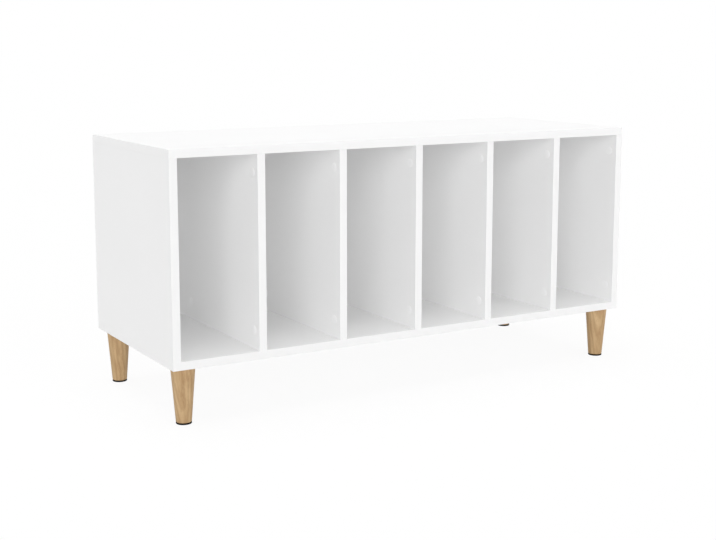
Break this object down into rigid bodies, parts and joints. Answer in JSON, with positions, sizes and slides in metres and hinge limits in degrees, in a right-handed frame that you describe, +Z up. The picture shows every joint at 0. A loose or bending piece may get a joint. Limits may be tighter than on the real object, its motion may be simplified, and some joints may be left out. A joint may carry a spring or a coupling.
{
  "type": "record cabinet",
  "caption": "Low open-fronted record cabinet of white-faced board: upright bays for record sleeves between fixed dividers, on round tapered wooden legs with black floor glides.",
  "frame": {"origin": "on the floor, under the middle of the cabinet", "axes": "+X along the length to the right as seen from the front, +Y from front to back, +Z up"},
  "size_m": [1, 0.38, 0.483],
  "materials": {
    "white_board": "melamine-faced chipboard with edge bands, satin white",
    "back_board": "thin hardboard, white on its inner face and raw brown behind",
    "leg_wood": "turned solid wood, clear matt lacquer",
    "dowel_wood": "plain beech",
    "glide_plastic": "black moulded plastic",
    "cap_plastic": "white moulded plastic",
    "zinc": "zinc die casting, left as cast",
    "steel": "bright zinc-plated steel"
  },
  "bodies": {
    "root": {"top_panel": "white_board", "bottom_panel": "white_board", "back_panel": "back_board", "left_side_panel": "white_board", "cam_locks_left_side_panel": "zinc", "connecting_bolts_left_side_panel": "steel", "cover_caps_left_side_panel": "cap_plastic", "dowels_left_side_panel": "dowel_wood", "divider_1": "white_board", "cam_locks_divider_1": "zinc", "connecting_bolts_divider_1": "steel", "cover_caps_divider_1": "cap_plastic", "dowels_divider_1": "dowel_wood", "divider_2": "white_board", "cam_locks_divider_2": "zinc", "connecting_bolts_divider_2": "steel", "cover_caps_divider_2": "cap_plastic", "dowels_divider_2": "dowel_wood", "divider_3": "white_board", "cam_locks_divider_3": "zinc", "connecting_bolts_divider_3": "steel", "cover_caps_divider_3": "cap_plastic", "dowels_divider_3": "dowel_wood", "divider_4": "white_board", "cam_locks_divider_4": "zinc", "connecting_bolts_divider_4": "steel", "cover_caps_divider_4": "cap_plastic", "dowels_divider_4": "dowel_wood", "divider_5": "white_board", "cam_locks_divider_5": "zinc", "connecting_bolts_divider_5": "steel", "cover_caps_divider_5": "cap_plastic", "dowels_divider_5": "dowel_wood", "right_side_panel": "white_board", "cam_locks_right_side_panel": "zinc", "connecting_bolts_right_side_panel": "steel", "cover_caps_right_side_panel": "cap_plastic", "dowels_right_side_panel": "dowel_wood", "glide_front_left": "glide_plastic", "leg_front_left": "leg_wood", "hanger_bolt_front_left": "steel", "insert_nut_front_left": "zinc", "glide_back_left": "glide_plastic", "leg_back_left": "leg_wood", "hanger_bolt_back_left": "steel", "insert_nut_back_left": "zinc", "glide_front_right": "glide_plastic", "leg_front_right": "leg_wood", "hanger_bolt_front_right": "steel", "insert_nut_front_right": "zinc", "glide_back_right": "glide_plastic", "leg_back_right": "leg_wood", "hanger_bolt_back_right": "steel", "insert_nut_back_right": "zinc"}
  },
  "joints": []
}
